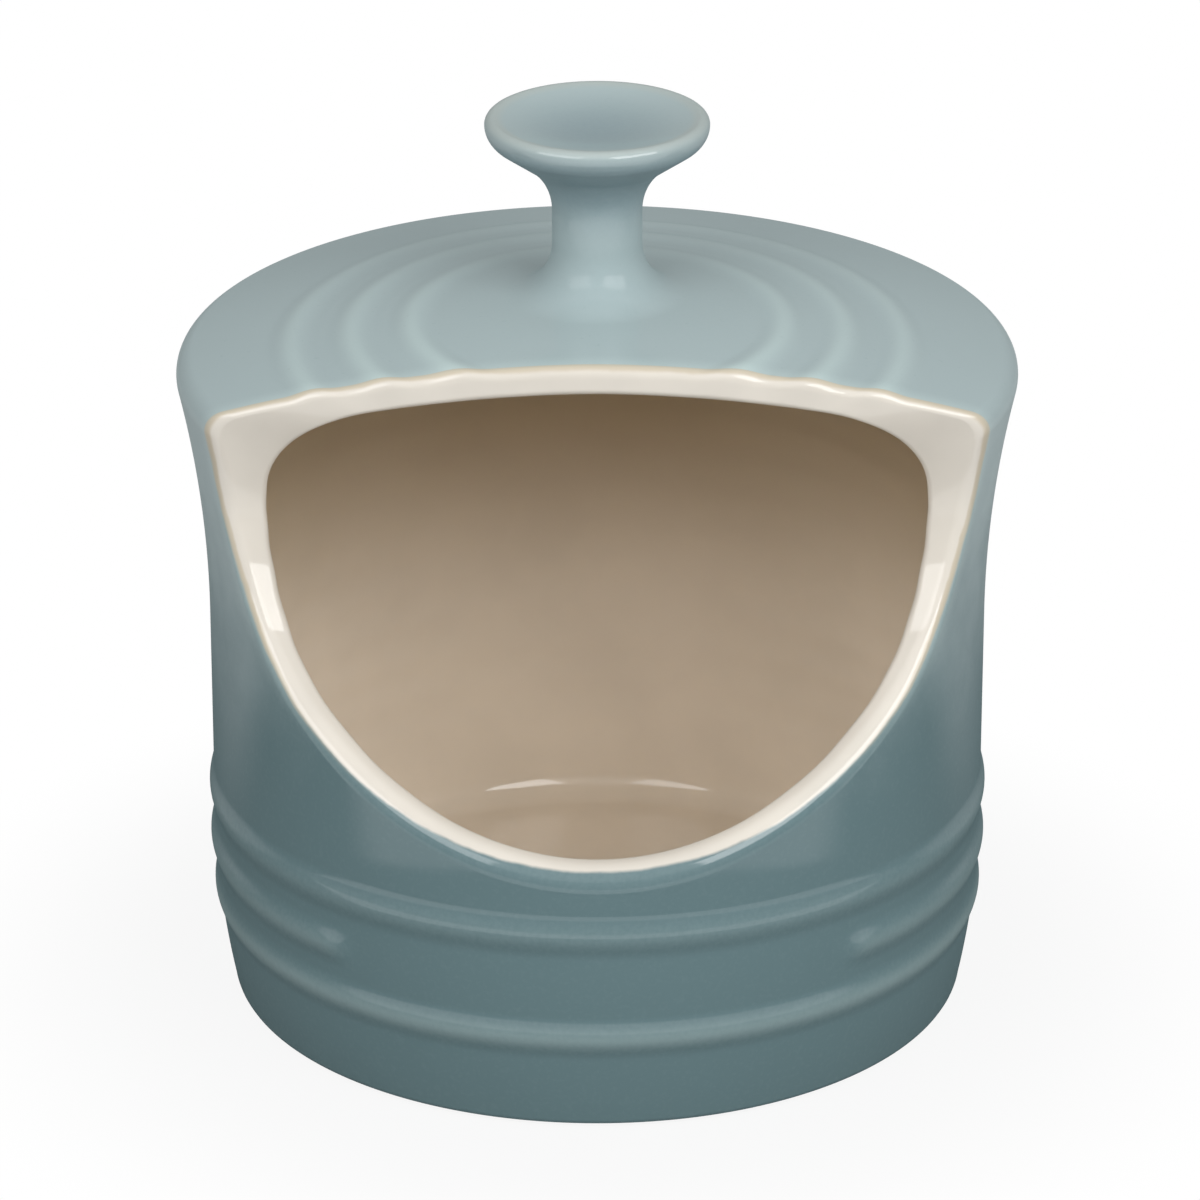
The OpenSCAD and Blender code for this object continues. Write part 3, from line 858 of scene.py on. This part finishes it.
class CROCK_OT_wall(bpy.types.Operator):
    """Builds the ribbed wall with its blue glaze"""

    bl_idname = "crock.wall"
    bl_label = "Wall"

    def execute(self, context):
        crock = context.scene.crock
        shape = CrockShape(crock)
        low = shape.run_out[0]
        foot_end, ribs_end = 0.004, 0.036
        below = np.concatenate([
            rows_between(0.0, foot_end, 10),
            rows_between(foot_end, ribs_end, 84),
            rows_between(ribs_end, low, 6),
        ])
        last = shape.shoulder_row + 1
        run = np.concatenate([below, shape.run_out[:last]])
        rim = np.concatenate([0 * below, shape.rim_out[:last]])
        face = skin(shape.outside, rim, run, shape)
        open_rows = slice(len(below), None)
        patches = shell(face, joint_depth(face, crock.body), 0, -1, (open_rows, 0), (open_rows, -1))
        place("glazed_wall", patches, blue_glaze, "blue_glaze", "wall_glaze", "crock_wall")
        return {"FINISHED"}


class CROCK_OT_dome(bpy.types.Operator):
    """Builds the rippled dome with its blue glaze"""

    bl_idname = "crock.dome"
    bl_label = "Dome"

    def execute(self, context):
        crock = context.scene.crock
        shape = CrockShape(crock)
        end = shape.outer.run[-1]
        over = np.append(rows_between(shape.run_out[-1], end, 24), end)[1:]
        first = shape.shoulder_row
        run = np.concatenate([shape.run_out[first:], over])
        rim = np.concatenate([shape.rim_out[first:], 0 * over])
        face = skin(shape.outside, rim, run, shape)
        open_rows = slice(None, len(shape.run_out) - first)
        patches = shell(face, crock.body.half_wall, 0, -1, (open_rows, 0), (open_rows, -1))
        place("glazed_dome", patches, blue_glaze, "blue_glaze", "dome_glaze", "dome")
        return {"FINISHED"}


class CROCK_OT_knob(bpy.types.Operator):
    """Builds the knob: a neck with a dished cap"""

    bl_idname = "crock.knob"
    bl_label = "Knob"

    def execute(self, context):
        crock = context.scene.crock
        shape = CrockShape(crock)
        outline = Outline(shape.knob_points())

        def knob(turn, run):
            return turned(*outline.at(run), turn), 0 * (turn + run)

        run = np.linspace(0, outline.run[-1], 150)
        face = skin(knob, 0 * run, run, shape)
        rim, height = off_axis(face.points)
        top = shape.crown_z + crock.knob.height
        top_x = crock.knob.cap_d / 2 - crock.knob.top_r
        # The clay shows at the cap's edge, painted shade darkens the neck and the cap's underside, the whole
        # knob takes a slightly deeper tone, and the foot has less gloss
        face.values["warm"] = ease(1.4 - np.hypot(rim - top_x, height - top) / 0.0013)
        above = height - shape.crown_z
        neck_low, neck_high = shape.knob_foot_z + 0.0012, top - 0.0034
        ramp = 0.14 * ease((above + 0.001) / 0.003) + 0.86 * ease((height - neck_low) / 0.009)
        face.values["pool"] = ramp * ease((neck_high - height) / 0.0032 + 1.0)
        face.values["gap"] = np.full(rim.shape, FAR_GAP)
        face.values["dull"] = ease((above + 0.0006) / 0.003) * (1 - ease((above - 0.006) / 0.008))
        under = Patch(np.stack([face.points[0], face.points[0] * (0, 0, 1)]), np.zeros((2, COLUMNS + 1, 3)))
        under.normals[..., 2] = -1
        under.values = {"crest": 0.0, "gap": FAR_GAP, "warm": 0.0, "pool": 0.0, "dull": 0.0}
        place("glazed_knob", [face, under], blue_glaze, "blue_glaze", "knob_glaze", "knob")
        return {"FINISHED"}


class CROCK_OT_liner(bpy.types.Operator):
    """Builds the cream coat inside"""

    bl_idname = "crock.liner"
    bl_label = "Liner"

    def execute(self, context):
        crock = context.scene.crock
        shape = CrockShape(crock)
        cove, cove_end = shape.cove_start, shape.cove_end
        low, top, end = shape.run_in[0], shape.run_in[-1], shape.inner.run[-1]
        below = np.concatenate([
            rows_between(0.0, cove, 12),
            rows_between(cove, cove_end, 16),
            rows_between(cove_end, low, 34),
        ])
        over = np.append(rows_between(top, end, 14), end)[1:]
        run = np.concatenate([below, shape.run_in, over])
        rim = np.concatenate([0 * below, shape.rim_in, 0 * over])
        face = skin(shape.inside, rim, run, shape, outwards=False)
        open_rows = slice(len(below), len(below) + len(shape.run_in))
        patches = shell(face, joint_depth(face, crock.body), (open_rows, 0), (open_rows, -1))
        place("glazed_liner", patches, cream_glaze, "cream_glaze", "liner_glaze")
        return {"FINISHED"}


class CROCK_OT_lip(bpy.types.Operator):
    """Builds the rounded lip of the mouth"""

    bl_idname = "crock.lip"
    bl_label = "Lip"

    def execute(self, context):
        crock = context.scene.crock
        shape = CrockShape(crock)
        start, _ = shape.outside(shape.rim_out, shape.run_out)
        end, _ = shape.inside(shape.rim_in, shape.run_in)
        corner = shape.outside(shape.outer_rim(shape.run_rim, 0.0), shape.run_rim)[0]
        corner_in = shape.inside(shape.inner_rim(shape.run_rim_in, 0.0), shape.run_rim_in)[0]
        half = lip_section(start, corner, corner_in, end, shape.round_out, crock.mouth.round_in)
        start_normal = turned_out(start, normals_of(shape.outside, shape.rim_out, shape.run_out), True)
        end_normal = turned_out(end, normals_of(shape.inside, shape.rim_in, shape.run_in), False)
        ring = whole_ring(half)
        wrapped = np.concatenate([ring[-2:-1], ring, ring[1:2]])
        normal, _ = unit(np.cross(np.gradient(wrapped, axis=0), np.gradient(wrapped, axis=1))[1:-1])
        first = whole_ring(start_normal)
        if (normal[:, 0] * first).sum() < 0:
            normal = -normal
        normal[:, 0], normal[:, -1] = first, whole_ring(end_normal)
        run = np.cumsum(np.linalg.norm(np.diff(ring, axis=1, prepend=ring[:, :1]), axis=-1), axis=1)
        # The blue reaches furthest over the lip at its lowest point
        way = np.linspace(0, 1, len(half))
        border = 0.0006 + 0.0027 * (1 - ease((way - 0.02) / 0.55))
        border = np.concatenate([border, border[-2:0:-1], border[:1]])
        over = (run - border[:, None]) * MM
        face = Patch(ring, normal, crest=0 * over, gap=gap_to_lip(ring, shape), over=over)
        behind = np.stack([ring[:, -1], ring[:, 0]], axis=1)
        hidden = Patch(behind, np.zeros_like(behind), crest=0.0, gap=0.0, over=0.0)
        place("glazed_lip", [face, hidden], lip_glaze, "cream_glaze", "lip_glaze")
        return {"FINISHED"}


def whole_ring(half):
    """Points or directions along the mouth's right half, carried on over its left half to the start."""
    return np.concatenate([half, half[-2:0:-1] * (-1.0, 1.0, 1.0), half[:1]])


def lip_section(start, corner, corner_in, end, round_out, round_in):
    """Sections across the lip: from the outside a cubic arc round the outer corner, then straight over
    the cut, then a cubic arc round the inner corner to the inside."""
    over = corner_in - corner
    width = np.linalg.norm(over, axis=-1, keepdims=True)
    reach, most_out, most_in = 1.25, 0.68, 0.26
    first = corner + over * np.minimum(reach * round_out[:, None] / width, most_out)
    last = corner_in - over * np.minimum(round_in / width, most_in)
    bow = [cubic(start, corner, first, t) for t in np.linspace(0, 1, 13)]
    flat = [first + (last - first) * t for t in np.linspace(0, 1, 6)[1:-1]]
    close = [cubic(last, corner_in, end, t) for t in np.linspace(0, 1, 9)]
    return np.stack(bow + flat + close, axis=1)


def cubic(a, corner, b, t):
    """A point of the cubic curve from a to b that is drawn towards a corner, close to a round arc."""
    draw = 0.5523
    p, q = a + (corner - a) * draw, b + (corner - b) * draw
    return a * (1 - t) ** 3 + p * 3 * t * (1 - t) ** 2 + q * 3 * t * t * (1 - t) + b * t**3


class CROCK_OT_base(bpy.types.Operator):
    """Gives the base its bare clay"""

    bl_idname = "crock.base"
    bl_label = "Base"

    def execute(self, context):
        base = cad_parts["base"]
        base.data.materials.clear()
        base.data.materials.append(get_material(bare_clay))
        return {"FINISHED"}


def way_to(turn, rise):
    """The way from the crock to a place at an angle from the front and a rise over the level."""
    return Vector((math.sin(turn) * math.cos(rise), -math.cos(turn) * math.cos(rise), math.sin(rise)))


def stand(name, kind, aim, way, distance):
    """Puts a lamp or the camera up at a distance from a point, facing it."""
    item = bpy.data.objects.new(name, kind)
    item.location = aim + way * distance
    item.rotation_euler = (-way).to_track_quat("-Z", "Y").to_euler()
    bpy.context.scene.collection.objects.link(item)
    return item


class CROCK_OT_studio(bpy.types.Operator):
    """Sets the floor, the light and the camera"""

    bl_idname = "crock.studio"
    bl_label = "Studio"

    def execute(self, context):
        scene, studio = context.scene, context.scene.crock.studio
        scene.view_settings.view_transform = "Standard"
        self.floor(scene, studio)
        self.world(scene, studio)
        self.lamps(studio)
        camera = bpy.data.cameras.new("camera")
        camera.lens = studio.lens
        aim = Vector((studio.aim_x, 0.0, studio.aim_z))
        scene.camera = stand("camera", camera, aim, way_to(0.0, studio.elevation), studio.distance)
        return {"FINISHED"}

    def lamps(self, studio):
        """Soft boxes to both sides of the camera and above it. A low one behind the crock only lightens
        its back, and the gloss doesn't show it."""
        wide, turn, rise = studio.box_width, studio.box_turn, studio.box_rise
        aim = Vector((0.0, 0.0, studio.aim_z))
        for name, turn, rise, width, height, watts in (
            ("left box", -turn, rise, wide, studio.box_height, studio.left_power),
            ("right box", turn, rise, wide, studio.box_height, studio.right_power),
            ("top box", 0.0, studio.top_rise, studio.top_size, studio.top_size, studio.top_power),
            ("back box", math.pi, studio.back_rise, wide, studio.back_height, studio.back_power),
        ):
            lamp = bpy.data.lights.new(name, "AREA")
            lamp.shape = "RECTANGLE"
            lamp.size, lamp.size_y = width, height
            lamp.energy = watts
            box = stand(name, lamp, aim, way_to(turn, rise), studio.box_distance)
            box.visible_glossy = name != "back box"

    def floor(self, scene, studio):
        """A round pale table top. The camera sees it as white, but for the crock's shadow close by.
        Reflections show it dim near the crock, white further ahead and half bright behind it."""
        shadow, front, back = (0.058, 0.11), (0.055, 0.085), (0.01, 0.06)
        turn = np.linspace(0, 2 * np.pi, 128, endpoint=False)
        rim = np.stack([np.cos(turn), np.sin(turn), 0 * turn], axis=-1) * studio.floor_rad
        rim[:, 2] = -FLOOR_DROP
        mesh = bpy.data.meshes.new("floor")
        mesh.from_pydata(rim, [], [range(len(rim))])
        shader = Shader(bpy.data.materials.new("pale floor"))
        shader.set(Base_Color=(*[studio.floor] * 3, 1.0), Roughness=0.9, Specular_IOR_Level=0.1)
        across = shader.add("ShaderNodeSeparateXYZ", inputs={0: shader.add("ShaderNodeTexCoord", output=3)})
        along = across.also(1)
        camera = shader.add("ShaderNodeLightPath", output="Is Camera Ray")
        square = across * across + along * along
        far = square.math("SQRT", square)
        far_off = studio.floor_white + (1 - studio.floor_white) * far.step(*shadow)
        oval = across * across * studio.mat_side**-2 + along * along * studio.mat_front**-2
        mirrored = (camera.also("Is Glossy Ray") + camera.also("Is Transmission Ray")).clamped()
        ahead = (0 - along).step(*front)
        behind = oval.step(0.2, 1.4) * along.step(*back) * studio.behind
        beyond = oval.step(0.97, 1.03) * ahead + behind
        bright = studio.mat + (1 - studio.mat) * beyond
        amount = camera * far_off + mirrored
        white = shader.add("ShaderNodeEmission", inputs={"Strength": camera + mirrored * bright})
        matt = Value(shader, shader.tree.nodes["Principled BSDF"].outputs[0])
        seen = shader.add("ShaderNodeMixShader", inputs={0: amount.clamped(), 1: matt, 2: white})
        shader.feed(shader.tree.nodes["Material Output"].inputs["Surface"], seen)
        mesh.materials.append(shader.owner)
        floor = bpy.data.objects.new("floor", mesh)
        scene.collection.objects.link(floor)

    def world(self, scene, studio):
        """A dim room with even light from all round, which the camera sees as white."""
        scene.world = bpy.data.worlds.new("studio")
        shader = Shader(scene.world)
        camera = shader.add("ShaderNodeLightPath", output="Is Camera Ray")
        mirrored = camera.also("Is Glossy Ray") * studio.room
        seen = (camera + camera.also("Is Transmission Ray") + mirrored).clamped()
        sky = shader.tree.nodes["Background"].inputs
        shader.feed(sky["Color"], (1.0, 1.0, 1.0, 1.0))
        shader.feed(sky["Strength"], studio.sky + (1 - studio.sky) * seen)


PIECES = (CROCK_OT_wall, CROCK_OT_dome, CROCK_OT_knob, CROCK_OT_liner, CROCK_OT_lip, CROCK_OT_base)
GROUPS = (CrockBodySizes, CrockMouthSizes, CrockKnobSizes, CrockFinish, CrockStudio)


class CROCK_PT_panel(bpy.types.Panel):
    """Lists the crock's pieces and settings"""

    bl_idname = "CROCK_PT_panel"
    bl_label = "Salt crock"
    bl_space_type = "VIEW_3D"
    bl_region_type = "UI"
    bl_category = "Crock"

    def draw(self, context):
        crock = context.scene.crock
        for piece in (*PIECES, CROCK_OT_studio):
            self.layout.operator(piece.bl_idname)
        for group in (crock.body, crock.mouth, crock.knob, crock.finish, crock.studio):
            box = self.layout.box()
            for name in group.__annotations__:
                box.prop(group, name)


CLASSES = (*GROUPS, CrockSettings, *PIECES, CROCK_OT_studio, CROCK_PT_panel)


def register():
    for cls in CLASSES:
        bpy.utils.register_class(cls)
    bpy.types.Scene.crock = PointerProperty(type=CrockSettings)


def unregister():
    del bpy.types.Scene.crock
    for cls in reversed(CLASSES):
        bpy.utils.unregister_class(cls)


def main():
    """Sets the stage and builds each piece."""
    register()
    bpy.ops.crock.studio()
    bpy.ops.crock.wall()
    bpy.ops.crock.dome()
    bpy.ops.crock.knob()
    bpy.ops.crock.liner()
    bpy.ops.crock.lip()
    bpy.ops.crock.base()


if __name__ == "__main__":
    main()
